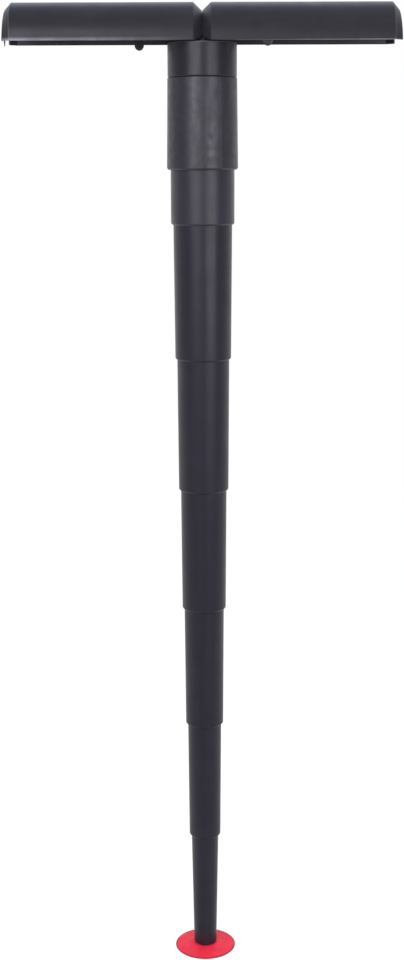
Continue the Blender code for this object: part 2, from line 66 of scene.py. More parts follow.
print("frame loaded:", len(frame["nodes"]), "nodes")


# Shared geometry: everything below is drawn in millimetres in the frame's own axes

fit = 0.3  # clearance between pieces that fit together
bite = 0.5  # how far a joined part reaches into the piece that it is joined to
past = 1.0  # how far a cutter reaches past the piece that it cuts
weld = 0.002  # points closer than this become one
crease = math.radians(34)  # an edge bent by more than this stays sharp
straight = math.radians(178)  # a corner as open as this needs no arc
wingSides = ((-1, "left"), (1, "right"))


def nodeBox(name):
    low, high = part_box(name)
    return np.array(low) / mm, np.array(high) / mm


def nodeMiddle(name):
    low, high = nodeBox(name)
    return (low + high) / 2


def nodeRadius(name):
    low, high = nodeBox(name)
    return (high[0] - low[0]) / 2


def jointPlace(name):
    found = [joint for joint in frame["joints"] if joint["name"] == name]
    return np.array(found[0]["pos_m"]) / mm


def roundedOutline(corners, radii, closed=True, steps=5, tintShare=1.0, support=0.3):
    # Each corner becomes an arc that touches both of its sides and takes at most 0.45 of either.
    # One more point lies on each side just past the arc, within 0.4 of what is left, so that
    # smooth shading stays on the arc. The second result is the share of edge colour, which is 0 off
    # the arcs.
    corners = np.array(corners, float)
    points, onEdge = [], []
    for i, corner in enumerate(corners):
        radius = radii[i] if isinstance(radii, (list, tuple)) else radii
        tinted = tintShare[i] if isinstance(tintShare, (list, tuple)) else tintShare
        atEnd = not closed and i in (0, len(corners) - 1)
        before = corners[i - 1] - corner
        after = corners[(i + 1) % len(corners)] - corner
        longBefore, longAfter = np.linalg.norm(before), np.linalg.norm(after)
        between = math.acos(np.clip(before @ after / (longBefore * longAfter), -1, 1))
        if atEnd or radius == 0 or between > straight:
            points.append(corner[None])
            onEdge.append(np.zeros(1))
            continue
        before, after = before / longBefore, after / longAfter
        reach = min(radius / math.tan(between / 2), 0.45 * longBefore, 0.45 * longAfter)
        radius = reach * math.tan(between / 2)
        middle = (before + after) / np.linalg.norm(before + after)
        centre = corner + middle * radius / math.sin(between / 2)
        sweep = math.pi - between
        share = np.linspace(0, 1, steps + 1)[:, None]
        first, last = corner + before * reach - centre, corner + after * reach - centre
        blend = np.sin((1 - share) * sweep) * first + np.sin(share * sweep) * last
        arc = centre + blend / math.sin(sweep)
        padBefore = min(support, 0.4 * (longBefore - reach))
        padAfter = min(support, 0.4 * (longAfter - reach))
        points += [(corner + before * (reach + padBefore))[None], arc,
                   (corner + after * (reach + padAfter))[None]]
        onEdge += [np.zeros(1), np.full(steps + 1, tinted), np.zeros(1)]
    return np.concatenate(points), np.concatenate(onEdge)


def gridFaces(rows, columns, wrapRows, wrapColumns):
    # The four corners of every cell, as places in the flattened grid
    row = np.arange(rows if wrapRows else rows - 1)[:, None]
    column = np.arange(columns if wrapColumns else columns - 1)[None, :]
    nextRow, nextColumn = (row + 1) % rows, (column + 1) % columns
    corners = [row * columns + column, row * columns + nextColumn]
    corners += [nextRow * columns + nextColumn, nextRow * columns + column]
    return np.stack(corners, -1).reshape(-1, 4)


def shadeSmooth(mesh):
    mesh.shade_smooth()
    mesh.set_sharp_from_angle(angle=crease)


def closedPiece(name, points, faces, onEdge=None):
    # One closed mesh: doubled points at poles are merged and every face is turned outwards
    mesh = bpy.data.meshes.new(name)
    mesh.from_pydata((np.asarray(points).reshape(-1, 3) * mm).tolist(), [], faces)
    tintShare = mesh.attributes.new("edgeMixShare", "FLOAT", "POINT")
    if onEdge is not None:
        tintShare.data.foreach_set("value", np.asarray(onEdge, np.float32).ravel())
    shape = bmesh.new()
    shape.from_mesh(mesh)
    bmesh.ops.remove_doubles(shape, verts=shape.verts, dist=weld * mm)
    bmesh.ops.recalc_face_normals(shape, faces=shape.faces)
    shape.to_mesh(mesh)
    shape.free()
    shadeSmooth(mesh)
    piece = bpy.data.objects.new(name, mesh)
    bpy.context.scene.collection.objects.link(piece)
    return piece


def turned(name, corners, radii, along="z", centre=(0, 0), around=96, closed=True, steps=5,
           tintShare=1.0, support=0.3):
    # Points (radius, place) of an outline carried round an axis:
    # for each angle a, the two other axes are centre + radius cos a and centre + radius sin a
    outline, onEdge = roundedOutline(corners, radii, closed, steps, tintShare, support)
    angle = np.linspace(0, 2 * math.pi, around, endpoint=False)
    first = centre[0] + outline[:, :1] * np.cos(angle)
    second = centre[1] + outline[:, :1] * np.sin(angle)
    place = np.repeat(outline[:, 1:], around, 1)
    orders = {"z": (first, second, place), "y": (first, place, second),
              "x": (place, first, second)}
    faces = gridFaces(len(outline), around, closed, True).tolist()
    worn = np.repeat(onEdge[:, None], around, 1)
    return closedPiece(name, np.stack(orders[along], -1), faces, worn)


def drill(name, steps, along, centre, around=32):
    # A round cutter in steps of (radius, start, stop), each starting where the last one stops
    outline = [(0, steps[0][1])]
    for radius, start, stop in steps:
        outline += [(radius, start), (radius, stop)]
    outline.append((0, steps[-1][2]))
    return turned(name, outline, 0, along, centre, around, closed=False)


def pushed(name, corners, radii, low, high, edge=0.3, steps=4):
    # An outline of (x, z) points carried along Y from low to high. At both ends it draws in by
    # edge (1 - sin a) while it still has edge (1 - cos a) to go, which rounds the edges.
    outline, onEdge = roundedOutline(corners, radii, True, steps)
    before, after = np.roll(outline, 1, 0), np.roll(outline, -1, 0)
    tangent = after - before
    tangent /= np.linalg.norm(tangent, axis=1)[:, None]
    outward = np.stack([tangent[:, 1], -tangent[:, 0]], 1)
    turn = np.linspace(0, math.pi / 2, steps + 1)
    inset = edge * (1 - np.sin(turn))
    start = edge * (1 - np.cos(turn))
    inset = np.concatenate([inset, inset[::-1]])
    place = np.concatenate([low + start, (high - start)[::-1]])
    rows = outline[None] - outward[None] * inset[:, None, None]
    spots = np.stack([rows[..., 0], np.repeat(place[:, None], len(outline), 1), rows[..., 1]], -1)
    faces = gridFaces(len(place), len(outline), False, True).tolist()
    count = len(outline)
    faces += [list(range(count)), list(range((len(place) - 1) * count, len(place) * count))]
    tintShare = np.maximum(onEdge[None], (inset > 0.02 * edge)[:, None])
    return closedPiece(name, spots, faces, tintShare)


def carve(piece, others, operation="DIFFERENCE"):
    # Cuts the other meshes away or joins them on, then keeps the result as the piece's own mesh
    for other in others:
        modifier = piece.modifiers.new("carve", "BOOLEAN")
        modifier.operation = operation
        modifier.solver = "EXACT"
        modifier.object = other
    bpy.context.view_layer.update()
    graph = bpy.context.evaluated_depsgraph_get()
    made = bpy.data.meshes.new_from_object(
        piece.evaluated_get(graph), preserve_all_data_layers=True, depsgraph=graph)
    piece.modifiers.clear()
    piece.data = made
    for other in others:
        bpy.data.objects.remove(other)
    shadeSmooth(made)


def dress(piece, material, slotName, *nodes):
    # Gives a finished piece its material and lets it ride where the solids it stands for ride
    piece.data.materials.clear()
    piece.data.materials.append(material)
    body = frame["nodes"][nodes[0]]["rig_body"]
    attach(piece, body)
    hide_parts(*nodes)


# Finishes


def linear(code):
    # An sRGB hex colour as linear light
    value = np.array([int(code[i:i + 2], 16) for i in (1, 3, 5)]) / 255
    light = np.where(value <= 0.04045, value / 12.92, ((value + 0.055) / 1.055) ** 2.4)
    return (*light.tolist(), 1.0)


def addNode(tree, kind, values=None, links=None, **settings):
    node = tree.nodes.new(kind)
    for key, value in settings.items():
        setattr(node, key, value)
    for socket, value in (values or {}).items():
        node.inputs[socket].default_value = value
    for socket, source in (links or {}).items():
        tree.links.new(source, node.inputs[socket])
    return node


def combined(tree, operation, first, second):
    node = addNode(tree, "ShaderNodeMath", None, {0: first, 1: second}, operation=operation)
    return node.outputs["Value"]


def rescaled(tree, value, before, after, lowest=None):
    # Carries a value from one range to another, whose lower end may be a node's output
    values = dict(zip(("From Min", "From Max", "To Min", "To Max"), (*before, *after)))
    links = {"Value": value} if lowest is None else {"Value": value, "To Min": lowest}
    return addNode(tree, "ShaderNodeMapRange", values, links).outputs["Result"]


def noise(tree, size, detail, place):
    # Noise with patches of this size in millimetres
    values = {"Scale": 1 / (size * mm), "Detail": detail}
    return addNode(tree, "ShaderNodeTexNoise", values, {"Vector": place}).outputs["Fac"]


def roughen(tree, shader, height, strength, depth):
    values = {"Strength": strength, "Distance": depth * mm}
    bump = addNode(tree, "ShaderNodeBump", values, {"Height": height})
    tree.links.new(bump.outputs["Normal"], shader.inputs["Normal"])


def newMaterial(name):
    material = bpy.data.materials.new(name)
    material.use_nodes = True
    tree = material.node_tree
    spot = addNode(tree, "ShaderNodeTexCoord").outputs["Object"]
    return material, tree, tree.nodes["Principled BSDF"], spot


# The span of noise that takes the plastics from dark to light, the span over which a patch of
# edge colour sets in, and the share of the edge colour that shows outside and inside such a patch
plasticNoise = dict(tone=(0.12, 0.42), patches=(0.35, 0.6), toneShown=(0.6, 0.85))


def mouldedPlastic(name, look):
    # Spark-eroded mould grain as bump, soft flow streaks and mottling in the tone and the gloss,
    # and an edge colour mixed in by patches: rubbed wear on some pieces, a painted highlight on
    # others, as each finish below says. Grain, mottle and streak sizes are in millimetres.
    material, tree, shader, spot = newMaterial(name)
    grain = noise(tree, look["grain"], 2.0, spot)
    mottle = noise(tree, look["mottle"], 4.0, spot)
    drawn = addNode(tree, "ShaderNodeMapping", {"Scale": look["streakDraw"]}, {"Vector": spot})
    streak = noise(tree, look["streak"], 3.0, drawn.outputs["Vector"])
    tintShare = addNode(tree, "ShaderNodeAttribute", attribute_name="edgeMixShare").outputs["Fac"]
    patchy = rescaled(tree, mottle, plasticNoise["patches"], plasticNoise["toneShown"])
    tinted = combined(tree, "MULTIPLY", tintShare, patchy)
    mixed = combined(tree, "MULTIPLY", mottle, streak)
    tone = rescaled(tree, mixed, plasticNoise["tone"], (0.0, 1.0))
    # A colour Mix node's own sockets: 6 and 7 are its two colours, and output 2 is its result
    colour = addNode(tree, "ShaderNodeMix", {6: linear(look["dark"]), 7: linear(look["light"])},
                     {0: tone}, data_type="RGBA")
    edge = addNode(tree, "ShaderNodeMix", {7: linear(look["worn"])},
                   {0: tinted, 6: colour.outputs[2]}, data_type="RGBA")
    tree.links.new(edge.outputs[2], shader.inputs["Base Color"])
    dull, bright = look["roughness"] + look["glossSpread"], look["roughness"] - look["glossSpread"]
    gloss = rescaled(tree, mixed, plasticNoise["tone"], (dull, bright))
    tree.links.new(gloss, shader.inputs["Roughness"])
    roughen(tree, shader, grain, look["bump"], look["grainDepth"])
    shader.inputs["IOR"].default_value = look["ior"]
    return material


# Black ABS, moulded in an eroded tool: satin, with a faint violet cast. Its pale edge colour is
# partly rubbed wear and partly a painted highlight along the rim and the outer chamfers
absWing = mouldedPlastic("mouldedAbsWing", dict(
    dark="#1c1a21", light="#252328", worn="#9a99a3", roughness=0.38, glossSpread=0.04, ior=1.43,
    grain=0.9, grainDepth=0.03, bump=0.25, mottle=14, streak=9, streakDraw=(0.12, 1.0, 1.0)))
# The same ABS from a smoother tool, with a tighter highlight. Its darker colour is painted shade
# from the wings above, and its paler edge colour is a painted highlight on the top edge
absHub = mouldedPlastic("mouldedAbsHub", dict(
    dark="#1a1821", light="#22202a", worn="#565560", roughness=0.33, glossSpread=0.05, ior=1.42,
    grain=0.8, grainDepth=0.03, bump=0.25, mottle=7, streak=5, streakDraw=(1.0, 1.0, 0.10)))
# ABS with a coarse handling grain, so its highlight is broad and mottled. Its paler edge colour
# is a painted highlight along the seam's lip
absSleeve = mouldedPlastic("mouldedAbsSleeve", dict(
    dark="#201e28", light="#2c2a35", worn="#4c4b56", roughness=0.38, glossSpread=0.08, ior=1.50,
    grain=0.8, grainDepth=0.05, bump=0.45, mottle=5, streak=5, streakDraw=(1.0, 1.0, 0.25)))
# Glass-filled nylon in a paler copy of the tube nylon's colours, which paints light onto the main
# tube
nylonMain = mouldedPlastic("mouldedNylonMain", dict(
    dark="#24222c", light="#2c2a35", worn="#4a4954", roughness=0.36, glossSpread=0.04, ior=1.46,
    grain=0.8, grainDepth=0.03, bump=0.25, mottle=16, streak=6, streakDraw=(1.0, 1.0, 0.06)))
# Glass-filled nylon tubes: satin, with long flow streaks down the draw direction
nylonTube = mouldedPlastic("mouldedNylonTube", dict(
    dark="#1c1a25", light="#24222d", worn="#4a4954", roughness=0.36, glossSpread=0.04, ior=1.42,
    grain=0.8, grainDepth=0.03, bump=0.25, mottle=18, streak=6, streakDraw=(1.0, 1.0, 0.06)))
# Natural grey-black nylon inside: matt
nylonInner = mouldedPlastic("mouldedNylonInner", dict(
    dark="#1f1f24", light="#29292e", worn="#4c4c52", roughness=0.55, glossSpread=0.05, ior=1.45,
    grain=0.7, grainDepth=0.03, bump=0.3, mottle=6, streak=6, streakDraw=(1.0, 1.0, 1.0)))
# Red thermoplastic rubber: soft satin, darker in colour along the rim's edges
redRubber = mouldedPlastic("mouldedRedRubber", dict(
    dark="#ee2a40", light="#fb3048", worn="#5e2a35", roughness=0.55, glossSpread=0.05, ior=1.42,
    grain=0.7, grainDepth=0.03, bump=0.3, mottle=9, streak=8, streakDraw=(1.0, 1.0, 1.0)))

plating = dict(colour="#c4c6ca", cloud=1.5, gloss=(0.24, 0.42), bump=0.2, depth=0.01)


def platedSteel():
    # Zinc-plated steel: bright grey, with a fine uneven gloss from the plating bath
    material, tree, shader, spot = newMaterial("zincPlatedSteel")
    cloud = noise(tree, plating["cloud"], 4.0, spot)
    gloss = rescaled(tree, cloud, (0.0, 1.0), plating["gloss"])
    tree.links.new(gloss, shader.inputs["Roughness"])
    roughen(tree, shader, cloud, plating["bump"], plating["depth"])
    shader.inputs["Base Color"].default_value = linear(plating["colour"])
    shader.inputs["Metallic"].default_value = 1.0
    return material


steel = platedSteel()
print("finishes made")


# Seat wings

# The outer chamfers' edges take a share of the pale edge colour: partly wear, partly a painted
# highlight
wing = dict(wall=1.5, endWall=2.0, chamferAlong=7.6, chamferIn=7.1, mouth=26.8, mouthDraft=1.2,
            halfGap=0.15, rimFillet=0.55, edgeFillet=0.7, mouthFillet=0.5, innerFillet=0.12,
            endSupport=2.0, around=60, chamferWearAndSheen=0.15)
# Pale edge colour of the outer skin in rows upwards from the rim: partly rubbed wear and partly a
# painted highlight, stronger on the left wing, and above the rim a painted highlight alone. At the
# rim it sets in rimFrom past the hinge and is full rimOver further on, and above the rim it grows
# between the two places given. rimOver and the share above the rim hold the left wing's value and
# then the right one's.
wingWearAndSheen = dict(rimFrom=2.0, rimOver=(26, 50), rim=(0.2, 0.8, 1, 1, 0, 0, 0, 0),
                above=(0, 0, 0, 0, 1, 0.8, 0.5, 0), aboveSheenShare=(0.95, 0.0), aboveSheenAlong=(20, 100))
# Rows of points over the rim: the first as shares of the rim's fillet, the last in millimetres
rimRows = dict(inFillet=(0, 0.076, 0.29, 0.62, 1.0, 1.5), over=(1.6, 3.0))
# Rows of points over an end wall's lower edge, at these heights or these shares of the wall's
# height, whichever is lower, and the number of rows across that edge
endWallRows = dict(heights=(0, 0.4, 1.2, 2.4, 4.0), shares=(0, 0.1, 0.25, 0.45, 0.7), across=8)
tab = dict(at=55.5, width=8.4, drop=4.8, thick=0.7, root=4.0, webFrom=0.6, offSkin=0.15)
tooth = dict(fromEnd=2.8, width=1.4, drop=4.4, taper=0.4, root=2.5, webFrom=0.6, thick=0.5,
             web=1.2, notch=1.8, notchDeep=1.2)
# The two numbers of sides are ones that leave no gap in the joined and the cut mesh
tongue = dict(out=0.16, root=1.0, recess=0.6, radius=24.8, room=0.4, fromHinge=-1.0,
              roomBelow=0.3, sides=67, grooveSides=59)
wingScrew = dict(spread=8.0, hole=1.4, holeDepth=4, headHole=2.6, recess=1.65, socket=0.7,
                 socketDeep=0.5, headThick=0.9, shank=1.1, headEdge=0.25, tipEdge=0.3, around=36)


def wingSection(length, radius):
    # The wall's section as one open line of (distance from the middle, radius): up the inner
    # end's face, out along the outer skin to the mouth, and back along the inner skin, which is
    # the outer one shifted inwards
    slant = math.hypot(wing["chamferAlong"], wing["chamferIn"])
    slope = wing["chamferIn"] / wing["chamferAlong"]
    face = radius - wing["chamferIn"]
    skin = radius - wing["wall"]
    start = wing["halfGap"]
    end = length + (wing["mouth"] - face) / slope
    shiftAlong = wing["wall"] * wing["chamferIn"] / slant
    shiftIn = wing["wall"] * wing["chamferAlong"] / slant

    def innerAlong(r):
        return shiftAlong + (r - face + shiftIn) / slope

    innerFace = face - shiftIn + (wing["endWall"] - shiftAlong) * slope
    corners = [(start, face - wing["endSupport"]), (start, face),
               (start + wing["chamferAlong"], radius), (end - wing["chamferAlong"], radius),
               (length, wing["mouth"]), (end - innerAlong(wing["mouth"]), wing["mouth"]),
               (end - innerAlong(skin), skin), (start + innerAlong(skin), skin),
               (start + wing["endWall"], innerFace),
               (start + wing["endWall"], innerFace - wing["endSupport"])]
    fillet, crisp, soft = wing["edgeFillet"], wing["innerFillet"], wing["mouthFillet"]
    radii = [0, crisp, crisp, fillet, soft, soft, fillet, fillet, soft, 0]
    # The outer end's chamfer edge and the mouth's edge take the pale edge colour: partly rubbed
    # wear and partly a painted highlight
    tintShare = [0, 0, 0, 1, 1, 0, 0, 0, 0, 0]
    return roundedOutline(corners, radii, closed=False, steps=4, tintShare=tintShare)


def wingShell(name, side, length, radius, rim, hinge):
    # Every section point is carried round the wing's axis: y = r cos u, z = r sin u, with u from
    # the rim at the front to the rim at the rear. The rim stands at height 0, except near the
    # hinge, where it rises on a circle about the hinge. Within one fillet f of the rim the skin
    # moves into the wall by f - sqrt(f^2 - (f - h)^2), with h the height over the rim, so that
    # the rim's edges are round.
    section, onEdge = wingSection(length, radius)
    count = len(section)
    hingeOffset, hingeRise = abs(hinge[0]), hinge[2] - rim
    corner = hingeOffset - wing["halfGap"]

    def rimRise(distance):
        inside = np.clip(hingeOffset - distance, 0, corner)
        return np.where(inside > 0, hingeRise - np.sqrt(corner ** 2 - inside ** 2), 0)

    along, out = section[:, 0], section[:, 1]
    tangent = np.gradient(section, axis=0)
    tangent /= np.linalg.norm(tangent, axis=1)[:, None]
    outward = np.stack([-tangent[:, 1], tangent[:, 0]], 1)
    fillet = wing["rimFillet"]
    near = np.concatenate([fillet * np.array(rimRows["inFillet"]), rimRows["over"]])
    inner = np.linspace(0, 1, wing["around"])[1:-1]
    fromFront = np.concatenate([near, np.full(len(inner) + len(near), near[-1])])
    toRear = np.concatenate([np.zeros(len(near) + len(inner)), near[-1] - near[::-1]])
    share = np.concatenate([np.zeros(len(near)), inner, np.ones(len(near))])
    low = np.arcsin(np.clip(rimRise(along) / out, 0, 1))[:, None]
    reach = math.pi - 2 * low - 2 * near[-1] / out[:, None]
    turn = low + (fromFront + toRear)[None] / out[:, None] + share[None] * reach

    rise = out[:, None] * np.sin(turn)
    height = rise - rimRise(along)[:, None]
    # The fillet shrinks to almost nothing in the last millimetre before the hinge
    soft = fillet * np.clip(along - hingeOffset, 0.001, 1)[:, None]
    short = np.clip(soft - height, 0, soft)
    drawIn = soft - np.sqrt(soft ** 2 - short ** 2)
    distance = along[:, None] - outward[:, :1] * drawIn
    r = out[:, None] - outward[:, 1:] * drawIn
    # The mouth's outer edge leans back towards the top
    half = count // 2
    lean = np.clip((radius - out) / (radius - wing["mouth"]), 0, 1) * (along > length / 2)
    lean[half:] = 0
    distance = distance - wing["mouthDraft"] * lean[:, None] * rise / wing["mouth"]
    skinRows = np.stack([distance, r * np.cos(turn), rim + r * np.sin(turn)], -1)

    # Flat end walls: straight rows between the lower edge and the arc
    def endRows(index):
        base = float(rimRise(along[index]))
        full = np.clip(rise[index] - base, 1e-6, None)
        level = np.array(endWallRows["heights"])[:, None]
        cap = np.array(endWallRows["shares"])[:, None]
        z = rim + base + np.minimum(level, full[None] * cap)
        y = np.repeat(out[index] * np.cos(turn[index])[None], len(level), 0)
        return np.stack([np.full_like(z, along[index]), y, z], -1)

    outerEnd, innerEnd = endRows(0), endRows(count - 1)
    # The end wall's lower edge runs on the hinge circle from the inner face to the outer face
    sink = np.linspace(0, 1, endWallRows["across"])[1:-1, None]
    edgeAlong = along[-1] + (along[0] - along[-1]) * sink
    edgeY = innerEnd[0, :, 1] + (outerEnd[0, :, 1] - innerEnd[0, :, 1]) * sink
    edgeZ = rim + rimRise(edgeAlong) + 0 * edgeY
    edgeRows = np.stack([edgeAlong + 0 * edgeY, edgeY, edgeZ], -1)

    rows = np.concatenate([outerEnd, skinRows, innerEnd[::-1], edgeRows])
    columns = rows.shape[1]
    first = len(outerEnd)
    rowEdgeMix = np.concatenate([np.zeros(first), onEdge, np.zeros(len(innerEnd) + len(edgeRows))])
    tintShare = np.repeat(rowEdgeMix[:, None], columns, 1) * wing["chamferWearAndSheen"]
    rowAlong = np.concatenate([np.zeros(first), along, np.zeros(len(innerEnd) + len(edgeRows))])
    # The rim's rows take the pale edge colour: partly rubbed wear, partly a painted highlight
    which = int(side > 0)
    aboveFrom, aboveFull = wingWearAndSheen["aboveSheenAlong"]
    above = np.clip((rowAlong - aboveFrom) / (aboveFull - aboveFrom), 0, 1)
    above *= wingWearAndSheen["aboveSheenShare"][which]
    rimWearAndSheen = wingWearAndSheen["rim"] + above[:, None] * wingWearAndSheen["above"]
    rimWearAndSheen[first + half:] = 0
    worn = (rowAlong - hingeOffset - wingWearAndSheen["rimFrom"]) / wingWearAndSheen["rimOver"][which]
    rimWearAndSheen *= np.clip(worn, 0, 1)[:, None]
    reached = len(near)
    tintShare[:, :reached] = np.maximum(tintShare[:, :reached], rimWearAndSheen)
    tintShare[:, -reached:] = np.maximum(tintShare[:, -reached:], rimWearAndSheen[:, ::-1])

    faces = gridFaces(len(rows), columns, True, False).tolist()
    i = np.arange(half - 1)
    last = first + count - 1
    pairs = np.stack([first + i, first + i + 1, last - 1 - i, last - i], 1)
    edgeStart = first + count + len(innerEnd)
    ring = [first, last, *range(edgeStart, edgeStart + len(edgeRows))]
    for column in (0, columns - 1):
        faces += (pairs * columns + column).tolist()
        faces.append([row * columns + column for row in ring])
    rows[..., 0] *= side
    return closedPiece(name, rows, faces, tintShare)


def curvedPlate(name, outline, at, radii, face, side, rim, edge=0.15):
    # A thin plate bent to the wing's round. Outline points are (across, rise): x = at + across,
    # turn = rise / radius, y = face radius cos turn, z = rim + radius sin turn. The outline
    # shrinks to its middle on the inner and on the outer face, with rounded edges between them.
    outline = np.array(outline, float)
    middle = outline.mean(0)
    size = np.abs(outline - middle).max()
    turn = np.linspace(0, math.pi / 2, 4)
    inset = np.concatenate([[size], edge * (1 - np.sin(turn))])
    depth = np.concatenate([[0], edge * (1 - np.cos(turn))])
    shrink = 1 - np.concatenate([inset, inset[::-1]]) / size
    level = np.concatenate([radii[0] + depth, (radii[1] - depth)[::-1]])
    spots = middle + (outline[None] - middle) * shrink[:, None, None]
    angle = spots[..., 1] / radii[0]
    x = side * (at + spots[..., 0])
    y = face * level[:, None] * np.cos(angle)
    z = rim + level[:, None] * np.sin(angle)
    faces = gridFaces(len(level), len(outline), False, True).tolist()
    return closedPiece(name, np.stack([x, y, z], -1), faces, np.ones(x.shape))


def block(name, low, high):
    corners = [(low[0], low[2]), (high[0], low[2]), (high[0], high[2]), (low[0], high[2])]
    return pushed(name, corners, 0, low[1], high[1], edge=0.001, steps=1)


def wingTab(side, rim, skin):
    # The half-round closing tab: an ellipse below the rim and a straight root above it
    half = tab["width"] / 2
    angle = np.linspace(0, math.pi, 25)
    tip = np.stack([half * np.cos(angle), -tab["drop"] * np.sin(angle)], 1)
    outline = np.concatenate([tip, [(-half, tab["root"]), (half, tab["root"])]])
    outer = skin - tab["offSkin"]
    face = 1 if side < 0 else -1
    radii = (outer - tab["thick"], outer)
    plate = curvedPlate("tabPlate", outline, tab["at"], radii, face, side, rim)
    low, high = tab["webFrom"], tab["root"] + bite
    root = [(-half, low), (half, low), (half, high), (-half, high)]
    radii = (outer - tab["thick"] / 2, skin + bite)
    web = curvedPlate("tabRoot", root, tab["at"], radii, face, side, rim)
    return [plate, web]


def wingTooth(rim, length):
    # The thin locating tooth at the front outer corner, with its web into the end wall
    half, tip = tooth["width"] / 2, tooth["width"] / 2 - tooth["taper"]
    at = length - tooth["fromEnd"] - half
    outline = [(tip, -tooth["drop"]), (half, 0), (half, tooth["root"]), (-half, tooth["root"]),
               (-half, 0), (-tip, -tooth["drop"])]
    inner = wing["mouth"]
    outer = inner + tooth["thick"]
    plate = curvedPlate("toothPlate", outline, at, (inner, outer), -1, -1, rim)
    low, high = tooth["webFrom"], tooth["root"]
    root = [(half, low), (half, high), (-half, high), (-half, low)]
    radii = (inner + tooth["thick"] / 2, outer + tooth["web"])
    web = curvedPlate("toothRoot", root, at, radii, -1, -1, rim)
    return [plate, web]


def endDisc(name, side, bottom, rim, radius, low, high, around):
    # A half-round disc, flat at the bottom, from x = low to x = high on the wing's own side
    start = math.asin((bottom - rim) / radius)
    angle = np.linspace(start, math.pi - start, around)
    y, z = radius * np.cos(angle), rim + radius * np.sin(angle)
    spots = np.concatenate([np.stack([0 * y + side * x, y, z], -1) for x in (low, high)])
    faces = gridFaces(2, around, False, True).tolist()
    faces += [list(range(around)), list(range(around, 2 * around))]
    return closedPiece(name, spots, faces)


def makeWing(side, label):
    node = label + "_wing_shell"
    low, high = nodeBox(node)
    radius = high[1]
    rim = high[2] - radius
    length = max(abs(low[0]), abs(high[0]))
    hinge = jointPlace(label + "_wing_fold")
    shell = wingShell(label + "WingShell", side, length, radius, rim, hinge)
    tongueBottom = hinge[2] + tongue["fromHinge"]
    joined = wingTab(side, rim, radius - wing["wall"])
    if side < 0:
        joined += wingTooth(rim, length)
        joined.append(endDisc("tongue", side, tongueBottom, rim, tongue["radius"],
                              -tongue["out"], tongue["root"], tongue["sides"]))
    carve(shell, joined, "UNION")
    if side > 0:
        groove = endDisc("groove", side, tongueBottom - tongue["roomBelow"], rim,
                         tongue["radius"] + tongue["room"], -bite, tongue["recess"],
                         tongue["grooveSides"])
        far = length - tooth["fromEnd"]
        near = far - tooth["width"]
        reach = wing["mouth"] + tooth["notchDeep"]
        notch = block("notch", (near - fit, -reach, rim - past),
                      (far + fit, 0, rim + tooth["notch"]))
        carve(shell, [groove, notch])
    height = nodeMiddle(label + "_wing_screw_1")[2]
    steps = [(wingScrew["headHole"], side * (wing["halfGap"] - past), side * wingScrew["recess"]),
             (wingScrew["hole"], side * wingScrew["recess"], side * wingScrew["holeDepth"])]
    carve(shell, [drill("screwHole", steps, "x", (y, height))
                  for y in (-wingScrew["spread"], wingScrew["spread"])])
    dress(shell, absWing, "wing_plastic", node)


for side, label in wingSides:
    makeWing(side, label)
print("seat wings made")


# Wing hinges

# Knuckles and ears are given by their nearest and farthest place from the leg's axis
hingeParts = dict(pin=1.6, pinHead=2.8, pinHeadThick=1.3, pinEdge=0.4, pinNeck=0.15,
                  washerEdge=0.12, knuckle=(4.5, 12.0), ear=(13.5, 19.5), blockHalf=13.0,
                  blockHeight=9.0, blockEdge=0.4, plateEdge=0.4, earRoot=1.0, lugSteps=17,
                  around=48, blockBoreAround=56)
ridge = dict(below=2.0, sink=0.2, room=0.25, reach=22.5, half=4.6, rootHalf=2.0, edge=0.1)
yokeScrew = dict(hole=1.8, seatDown=1.7, socket=1.1, socketDeep=0.7, headThick=1.4, shank=1.5,
                 headEdge=0.4, tipEdge=0.3, around=36)
yokeScrewNodes = [f"yoke_screw_{n}" for n in range(1, 5)]


def screw(name, look, head, face, tip, along, centre):
    # A round head with a round driver recess, and a plain shank. Face and tip are the places of
    # the head's face and of the screw's end on its axis.
    way = 1 if tip > face else -1
    deep, under = face + way * look["socketDeep"], face + way * look["headThick"]
    outline = [(0, deep), (look["socket"], deep), (look["socket"], face), (head, face),
               (head, under), (look["shank"], under), (look["shank"], tip), (0, tip)]
    radii = [0, 0.05, 0.1, look["headEdge"], 0.1, 0.1, look["tipEdge"], 0]
    return turned(name, outline, radii, along, centre, look["around"], closed=False, steps=3)


def makeHinge(side, label):
    hinge = jointPlace(label + "_wing_fold")
    centre = (hinge[0], hinge[2])
    low, high = nodeBox(label + "_hinge_pin")
    headEnd = low[1] + hingeParts["pinHeadThick"]
    pin, head = hingeParts["pin"], hingeParts["pinHead"]
    edge, neck = hingeParts["pinEdge"], hingeParts["pinNeck"]
    outline = [(0, low[1]), (head, low[1]), (head, headEnd), (pin, headEnd), (pin, high[1]),
               (0, high[1])]
    around = hingeParts["around"]
    piece = turned(label + "HingePin", outline, [0, edge, neck, neck, edge, 0], "y", centre,
                   around, closed=False)
    dress(piece, steel, "steel", label + "_hinge_pin")
    for kind, finish, slotName in (("pin_clip", steel, "steel"),
                                   ("front_friction_washer", nylonInner, "nylon"),
                                   ("rear_friction_washer", nylonInner, "nylon")):
        node = f"{label}_{kind}"
        low, high = nodeBox(node)
        inner, outer = pin + fit, nodeRadius(node)
        outline = [(inner, low[1]), (outer, low[1]), (outer, high[1]), (inner, high[1])]
        name = label + "".join(word.title() for word in kind.split("_"))
        piece = turned(name, outline, hingeParts["washerEdge"], "y", centre, around)
        dress(piece, finish, slotName, node)


